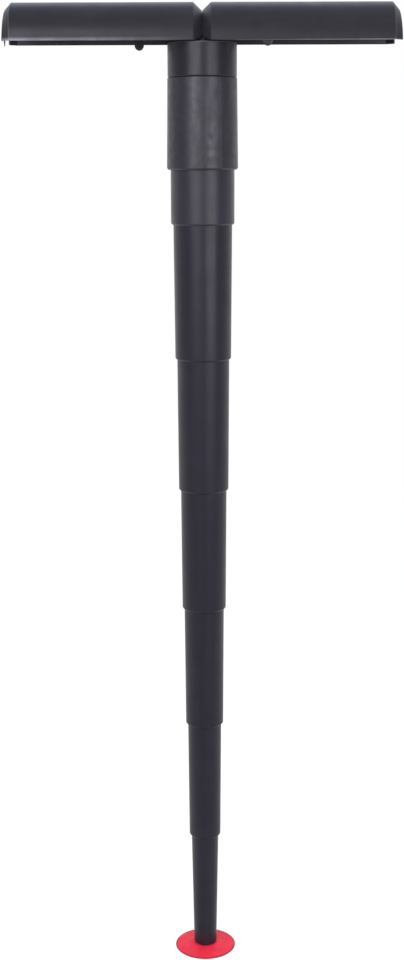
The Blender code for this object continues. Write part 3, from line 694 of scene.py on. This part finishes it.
def makeHingeBlock(side, label):
    # A block behind the wing's end wall with two knuckles, bored for the pin and for its screws
    node = label + "_hinge_block"
    low, high = nodeBox(node)
    hinge = jointPlace(label + "_wing_fold")
    ear = hinge[2] - low[2]
    base = high[2] - hingeParts["blockHeight"]
    corners = [(low[0], base), (high[0], base), (high[0], high[2]), (low[0], high[2])]
    half = hingeParts["blockHalf"]
    piece = pushed(label + "HingeBlock", corners, hingeParts["blockEdge"], -half, half)
    angle = np.radians(np.linspace(180, 360, hingeParts["lugSteps"]))
    curve = np.stack([hinge[0] + ear * np.cos(angle), hinge[2] + ear * np.sin(angle)], 1)
    lug = np.concatenate([curve, [(hinge[0] + ear, base + bite), (hinge[0] - ear, base + bite)]])
    near, far = hingeParts["knuckle"]
    knuckles = [pushed("knuckle", lug, 0, *span) for span in ((-far, -near), (near, far))]
    carve(piece, knuckles, "UNION")
    # The bore has a number of sides that leaves no gap in the cut mesh
    bore = [(hingeParts["pin"] + fit, -half - past, half + past)]
    centre = (hinge[0], hinge[2])
    cutters = [drill("pinBore", bore, "y", centre, hingeParts["blockBoreAround"])]
    screwLow, screwHigh = nodeBox(label + "_wing_screw_1")
    height = (screwLow[2] + screwHigh[2]) / 2
    tip = max(abs(screwLow[0]), abs(screwHigh[0])) + fit
    for y in (-wingScrew["spread"], wingScrew["spread"]):
        cutters.append(drill("screwBore", [(wingScrew["hole"], 0, side * tip)], "x", (y, height)))
    carve(piece, cutters)
    dress(piece, nylonInner, "nylon", node)


def makeWingScrews(side, label):
    # Pan-head screws, with their heads towards the middle of the seat
    for n in (1, 2):
        node = f"{label}_wing_screw_{n}"
        low, high = nodeBox(node)
        start, tip = sorted((abs(low[0]), abs(high[0])))
        piece = screw(f"{label}WingScrew{n}", wingScrew, (high[2] - low[2]) / 2, side * start,
                      side * tip, "x", nodeMiddle(node)[1:])
        dress(piece, steel, "steel", node)


def makeYoke():
    # The round plate in the hub with two pairs of ears, bored for the pins and recessed for its
    # screws
    low, high = nodeBox("hinge_yoke")
    hubTop = nodeBox("hub_cap")[1][2]
    radius = nodeRadius("hinge_yoke")
    root = low[2] + hingeParts["earRoot"]
    outline = [(0, low[2]), (radius, low[2]), (radius, hubTop), (0, hubTop)]
    edge = hingeParts["plateEdge"]
    piece = turned("hingeYoke", outline, [0, edge, edge, 0], closed=False)
    joined, cutters = [], []
    near, far = hingeParts["ear"]
    for _, label in wingSides:
        hinge = jointPlace(label + "_wing_fold")
        ear = high[2] - hinge[2]
        angle = np.radians(np.linspace(0, 180, hingeParts["lugSteps"]))
        curve = np.stack([hinge[0] + ear * np.cos(angle), hinge[2] + ear * np.sin(angle)], 1)
        shape = np.concatenate([[(hinge[0] + ear, root)], curve, [(hinge[0] - ear, root)]])
        joined += [pushed("ear", shape, 0, *span) for span in ((-far, -near), (near, far))]
        bore = [(hingeParts["pin"] + fit, -far - past, far + past)]
        centre = (hinge[0], hinge[2])
        cutters.append(drill("earBore", bore, "y", centre, hingeParts["around"]))
    # A low ridge stands between the wings' round corners:
    # half width = offset - root(corner^2 - depth^2) - room, with depth below the hinge
    depth = np.linspace(hinge[2] - hubTop - ridge["sink"], ridge["below"], 9)
    corner = abs(hinge[0]) - wing["halfGap"]
    half = abs(hinge[0]) - np.sqrt(np.clip(corner ** 2 - depth ** 2, 0, None)) - ridge["room"]
    flank = np.stack([np.minimum(half, ridge["half"]), hinge[2] - depth], 1)
    shape = np.concatenate([[(ridge["rootHalf"], root)], flank, flank[::-1] * (-1, 1),
                            [(-ridge["rootHalf"], root)]])
    joined.append(pushed("ridge", shape, 0, -ridge["reach"], ridge["reach"], edge=ridge["edge"]))
    carve(piece, joined, "UNION")
    for node in yokeScrewNodes:
        seat = nodeBox(node)[1][2] - yokeScrew["seatDown"]
        steps = [(yokeScrew["hole"], low[2] - past, seat),
                 (nodeRadius(node) + fit, seat, hubTop + past)]
        cutters.append(drill("yokeScrewHole", steps, "z", nodeMiddle(node)[:2]))
    carve(piece, cutters)
    dress(piece, nylonInner, "nylon", "hinge_yoke")


def makeYokeScrews():
    for n, node in enumerate(yokeScrewNodes, 1):
        low, high = nodeBox(node)
        piece = screw(f"yokeScrew{n}", yokeScrew, nodeRadius(node), high[2], low[2], "z",
                      nodeMiddle(node)[:2])
        dress(piece, steel, "steel", node)


def yokeScrewHoles(low, high):
    # Cutters for the four yoke screws' shanks
    steps = [(yokeScrew["hole"], low - past, high + past)]
    return [drill("hole", steps, "z", nodeMiddle(node)[:2]) for node in yokeScrewNodes]


for side, label in wingSides:
    makeHinge(side, label)
    makeHingeBlock(side, label)
    makeWingScrews(side, label)
makeYoke()
makeYokeScrews()
print("wing hinges made")


# Hub, sleeve and main tube. Lists of fillets follow the corners of their outlines.

hub = dict(floor=2.5, wallBottom=1.75, bevel=(0.6, 1.2),
           fillets=[0, 0.3, 0.3, 0.5, 0.4, 0.2, 0.2, 0.4, 0])
# The seam's steps and the painted highlight on its lip are in shares of its half width
sleeve = dict(topWall=1.95, bevel=(1.2, 1.4), fillets=[0.2, 0.3, 0.6, 0.2, 0.2], skinFrom=0.5,
              seamAngle=-59.5, seamWidth=0.9, seamDepth=0.45, lipAt=1.1, sheenSpread=0.06,
              seamSteps=(0.3, 0.55, 0.8, 1, 1.25, 1.6), around=140)
mainTube = dict(wall=1.6, bevel=(1.25, 1.35))
tubeFillets = [0.15, 0.3, 0.8, 0.3, 0.15]
plug = dict(flange=1.7, fillets=[0, 0.4, 0.2, 0.3, 0.3, 0])


def makeHub():
    low, high = nodeBox("hub_cap")
    radius = nodeRadius("hub_cap")
    recess = nodeRadius("hinge_yoke") + fit
    floorTop = nodeBox("hinge_yoke")[0][2] - fit
    floorBottom = floorTop - hub["floor"]
    bore = radius - hub["wallBottom"]
    bevelIn, bevelUp = hub["bevel"]
    outline = [(0, floorTop), (recess, floorTop), (recess, high[2]), (radius, high[2]),
               (radius, low[2] + bevelUp), (radius - bevelIn, low[2]), (bore, low[2]),
               (bore, floorBottom), (0, floorBottom)]
    # Only the top edge takes the paler edge colour, a painted highlight where light catches it
    piece = turned("hubCap", outline, hub["fillets"], around=128, closed=False,
                   tintShare=[0, 0, 0, 1, 0, 0, 0, 0, 0])
    carve(piece, yokeScrewHoles(floorBottom, floorTop))
    dress(piece, absHub, "hub_plastic", "hub_cap")


def makeSleeve():
    # A turned sleeve whose radius drops across one narrow groove, the moulding seam:
    # radius = outline radius - depth * bell((angle - seam angle) * radius / half width)
    low, high = nodeBox("grip_sleeve")
    wide = nodeRadius("grip_sleeve")
    bore = nodeRadius("main_tube") + fit
    bevelIn, bevelUp = sleeve["bevel"]
    corners = [(bore, low[2]), (wide - bevelIn, low[2]), (wide, low[2] + bevelUp),
               (bore + sleeve["topWall"], high[2]), (bore, high[2])]
    outline, _ = roundedOutline(corners, sleeve["fillets"])
    halfSeam = sleeve["seamWidth"] / 2
    steps = np.array(sleeve["seamSteps"])
    near = np.concatenate([-steps[::-1], [0], steps]) * halfSeam / wide
    rest = np.linspace(near[-1], 2 * math.pi + near[0], sleeve["around"])[1:-1]
    angle = np.concatenate([near, rest]) + math.radians(sleeve["seamAngle"])
    across = np.abs(np.concatenate([near, np.full(len(rest), 1)])) * wide / halfSeam
    bell = np.clip(1 - across ** 4, 0, 1)
    outside = (outline[:, 0] > bore + sleeve["skinFrom"])[:, None]
    r = outline[:, :1] - outside * sleeve["seamDepth"] * bell[None]
    points = np.stack([r * np.cos(angle), r * np.sin(angle),
                       np.repeat(outline[:, 1:], len(angle), 1)], -1)
    # A painted highlight: a thin line of the paler edge colour just outside the seam's groove
    seamSheen = np.exp(-(across - sleeve["lipAt"]) ** 2 / sleeve["sheenSpread"])
    faces = gridFaces(len(outline), len(angle), True, True).tolist()
    piece = closedPiece("gripSleeve", points, faces, outside * seamSheen[None])
    dress(piece, absSleeve, "hub_plastic", "grip_sleeve")


def makeMainTube():
    low, high = nodeBox("main_tube")
    radius = nodeRadius("main_tube")
    bore = radius - mainTube["wall"]
    bevelIn, bevelUp = mainTube["bevel"]
    corners = [(bore, low[2]), (radius - bevelIn, low[2]), (radius, low[2] + bevelUp),
               (radius, high[2]), (bore, high[2])]
    piece = turned("mainTube", corners, tubeFillets, around=128, tintShare=0.0)
    dress(piece, nylonMain, "tube_plastic", "main_tube")
    low, high = nodeBox("tube_plug")
    flange = high[2] - plug["flange"]
    corners = [(0, low[2]), (bore - fit, low[2]), (bore - fit, flange), (radius, flange),
               (radius, high[2]), (0, high[2])]
    piece = turned("tubePlug", corners, plug["fillets"], closed=False)
    carve(piece, yokeScrewHoles(low[2], high[2]))
    dress(piece, nylonInner, "nylon", "tube_plug")


makeHub()
makeSleeve()
makeMainTube()
print("hub, sleeve and main tube made")


# Leg tubes, from the top down

legTubes = dict(taper=(1.05, 0.88, 0.85, 0.89, 1.00, 2.40),
                wall=(1.40, 1.50, 1.55, 1.60, 1.50, 1.45), bevel=(1.15, 1.25))


def makeLegTube(n):
    # A tapered tube: its radius grows evenly from the bottom edge to the top
    node = f"leg_tube_{n}"
    low, high = nodeBox(node)
    top = nodeRadius(node)
    bottom = top - legTubes["taper"][n - 1]
    wall = legTubes["wall"][n - 1]
    bevelIn, bevelUp = legTubes["bevel"]
    corners = [(bottom - wall, low[2]), (bottom - bevelIn, low[2]), (bottom, low[2] + bevelUp),
               (top, high[2]), (top - wall, high[2])]
    piece = turned(f"legTube{n}", corners, tubeFillets, around=128, tintShare=0.0)
    dress(piece, nylonTube, "tube_plastic", node)


for n in range(1, len(legTubes["taper"]) + 1):
    makeLegTube(n)
print("leg tubes made")


# Foot

foot = dict(rim=1.4, bevel=0.7, darkRimFade=1.3, shoulder=11.4, domeOut=6, domeDrop=1.05, recess=2.4,
            screwBore=1.9, fillets=[0.2, 0.3, 0.3, 0.8, 12.0, 0.5, 0.1, 0.1, 0.2],
            plugEdge=0.3, washerEdge=0.12)
footScrew = dict(socket=1.0, socketDeep=0.35, headThick=0.8, shank=1.6, headEdge=0.3,
                 tipEdge=0.4, around=48)


def makeFoot():
    thick = nodeBox("foot_pad")[1][2]
    radius, washer = nodeRadius("foot_pad"), nodeRadius("foot_washer")
    bore, recess = foot["screwBore"], washer + fit
    dome = (foot["shoulder"] + foot["domeOut"], thick - foot["domeDrop"])
    corners = [(recess, 0), (radius - foot["bevel"], 0), (radius, foot["bevel"]),
               (radius, foot["rim"]), dome, (foot["shoulder"], thick), (bore, thick),
               (bore, foot["recess"]), (recess, foot["recess"])]
    # The rim's edges take the darker edge colour, fading out over a wider band than at other
    # corners
    pad = turned("footPad", corners, foot["fillets"], around=160, steps=6,
                 tintShare=[0, 1, 1, 1, 0, 0, 0, 0, 0], support=foot["darkRimFade"])
    dress(pad, redRubber, "red_rubber", "foot_pad")
    low, high = nodeBox("foot_plug")
    outer = nodeRadius("foot_plug")
    corners = [(bore, low[2]), (outer, low[2]), (outer, high[2]), (bore, high[2])]
    piece = turned("footPlug", corners, foot["plugEdge"], around=64)
    dress(piece, nylonInner, "nylon", "foot_plug")
    low, high = nodeBox("foot_washer")
    corners = [(bore, low[2]), (washer, low[2]), (washer, high[2]), (bore, high[2])]
    piece = turned("footWasher", corners, foot["washerEdge"], around=48)
    dress(piece, steel, "steel", "foot_washer")
    low, high = nodeBox("foot_screw")
    piece = screw("footScrew", footScrew, nodeRadius("foot_screw"), low[2], high[2], "z", (0, 0))
    dress(piece, steel, "steel", "foot_screw")


makeFoot()
print("foot made")


# Floor, light and camera. What mirror rays see is set apart from what lights the stool.

white = (1.0, 1.0, 1.0, 1.0)
floorLook = dict(size=6.0, colour="#ececee", roughness=0.9, shownShare=0.85, shownGlow=1.1,
                 near=0.05, far=1.5, mirrorNear=0.52, mirrorFar=0.27, mirrorBack=0.86,
                 frontToBack=(-0.9, 0.2))
worldLook = dict(level=0.6, colour="#f6f5ff", mirrorFront=0.27, mirrorBack=1.0, mirrorHigh=0.66,
                 highColour="#e8eeff", frontToBack=(-0.35, 0.6), lowToHigh=(0.15, 0.8))
lamps = {
    # name: place in metres, width, height, power in watts, colour, seen in reflections
    "softboxLeft": ((-0.71, -1.51, 1.24), 1.15, 1.26, 18.5, "#fbfaff", True),
    "softboxRight": ((0.90, -1.49, 0.71), 1.10, 0.52, 9.5, "#fbfaff", True),
    "softboxBehind": ((0.0, 1.7, 2.4), 2.4, 1.2, 7.3, "#c9dbff", True),
    "overhead": ((0.0, 0.3, 2.4), 1.6, 1.6, 12.0, "#f6f5ff", False),
}
lampAim = Vector((0.0, 0.0, 0.75))
cameraLook = dict(lens=57.26, swing=-0.3, aside=-1.6, distance=1373.0, height=768.9, pitch=12.34,
                  roll=-0.23)


def seenByCamera(tree, ray):
    return combined(tree, "MAXIMUM", ray.outputs["Is Camera Ray"],
                    ray.outputs["Is Transmission Ray"])


def mixedShader(tree, share, first, second):
    node = addNode(tree, "ShaderNodeMixShader", None, {0: share, 1: first, 2: second})
    return node.outputs["Shader"]


def makeFloor():
    half = floorLook["size"] / 2
    corners = [(-half, -half, 0), (half, -half, 0), (half, half, 0), (-half, half, 0)]
    mesh = bpy.data.meshes.new("floor")
    mesh.from_pydata(corners, [], [(0, 1, 2, 3)])
    floor = bpy.data.objects.new("floor", mesh)
    bpy.context.scene.collection.objects.link(floor)
    material, tree, shader, spot = newMaterial("paleFloor")
    shader.inputs["Base Color"].default_value = linear(floorLook["colour"])
    shader.inputs["Roughness"].default_value = floorLook["roughness"]
    shader.inputs["Specular IOR Level"].default_value = 0.0
    ray = addNode(tree, "ShaderNodeLightPath")
    seen = seenByCamera(tree, ray)
    shown = addNode(tree, "ShaderNodeMath", {1: floorLook["shownShare"]}, {0: seen},
                    operation="MULTIPLY")
    share = combined(tree, "MAXIMUM", shown.outputs["Value"], ray.outputs["Is Glossy Ray"])
    # In reflections it is white behind the stool and dim in front, most of all far from the foot
    bearing = addNode(tree, "ShaderNodeVectorMath", None, {0: spot}, operation="NORMALIZE")
    behind = addNode(tree, "ShaderNodeSeparateXYZ", None, {0: bearing.outputs["Vector"]})
    away = addNode(tree, "ShaderNodeVectorMath", None, {0: spot}, operation="LENGTH")
    front = rescaled(tree, away.outputs["Value"], (floorLook["near"], floorLook["far"]),
                     (floorLook["mirrorNear"], floorLook["mirrorFar"]))
    mirrored = rescaled(tree, behind.outputs["Y"], floorLook["frontToBack"],
                        (0.0, floorLook["mirrorBack"]), front)
    strength = rescaled(tree, seen, (0.0, 1.0), (0.0, floorLook["shownGlow"]), mirrored)
    glow = addNode(tree, "ShaderNodeEmission", {"Color": white}, {"Strength": strength})
    mixed = mixedShader(tree, share, shader.outputs["BSDF"], glow.outputs["Emission"])
    tree.links.new(mixed, tree.nodes["Material Output"].inputs["Surface"])
    mesh.materials.append(material)


def makeWorld():
    # Camera rays see plain white. Mirror rays see a white backdrop behind the stool, a dimmer
    # room in front of it and a bluish one above, and the soft light itself is even.
    world = bpy.data.worlds.new("studio")
    bpy.context.scene.world = world
    world.use_nodes = True
    tree = world.node_tree
    tree.nodes.clear()

    def background(colour, strength, links=None):
        node = addNode(tree, "ShaderNodeBackground", {"Color": colour, "Strength": strength}, links)
        return node.outputs["Background"]

    ray = addNode(tree, "ShaderNodeLightPath")
    spot = addNode(tree, "ShaderNodeTexCoord").outputs["Generated"]
    direction = addNode(tree, "ShaderNodeSeparateXYZ", None, {"Vector": spot})
    back = rescaled(tree, direction.outputs["Y"], worldLook["frontToBack"],
                    (worldLook["mirrorFront"], worldLook["mirrorBack"]))
    high = rescaled(tree, direction.outputs["Z"], worldLook["lowToHigh"], (0.0, 1.0))
    even = background(linear(worldLook["colour"]), worldLook["level"])
    around = background(white, 1.0, {"Strength": back})
    above = background(linear(worldLook["highColour"]), worldLook["mirrorHigh"])
    mirror = mixedShader(tree, high, around, above)
    lit = mixedShader(tree, ray.outputs["Is Glossy Ray"], even, mirror)
    shown = mixedShader(tree, seenByCamera(tree, ray), lit, background(white, 1.0))
    addNode(tree, "ShaderNodeOutputWorld", None, {"Surface": shown})


def makeLamps():
    for name, (place, wide, tall, power, colour, mirrored) in lamps.items():
        light = bpy.data.lights.new(name, "AREA")
        light.shape = "RECTANGLE"
        light.size, light.size_y = wide, tall
        light.energy = power
        light.color = linear(colour)[:3]
        lamp = bpy.data.objects.new(name, light)
        lamp.location = place
        lamp.visible_glossy = mirrored
        lamp.rotation_euler = (lampAim - Vector(place)).to_track_quat("-Z", "Y").to_euler()
        bpy.context.scene.collection.objects.link(lamp)


def makeCamera():
    data = bpy.data.cameras.new("photoView")
    data.lens = cameraLook["lens"]
    data.sensor_width = 36.0
    camera = bpy.data.objects.new("photoView", data)
    swing = math.radians(cameraLook["swing"])
    right = Vector((math.cos(swing), math.sin(swing), 0))
    back = Vector((math.sin(swing), -math.cos(swing), 0))
    up = Vector((0, 0, 1))
    place = back * cameraLook["distance"] + right * cameraLook["aside"] + up * cameraLook["height"]
    camera.location = place * mm
    level = Euler((math.radians(90 - cameraLook["pitch"]), 0, swing)).to_quaternion()
    camera.rotation_mode = "QUATERNION"
    camera.rotation_quaternion = level @ Quaternion(up, math.radians(cameraLook["roll"]))
    bpy.context.scene.collection.objects.link(camera)
    bpy.context.scene.camera = camera


makeFloor()
makeWorld()
makeLamps()
makeCamera()
bpy.context.scene.view_settings.view_transform = "Standard"
print("floor, light and camera made")
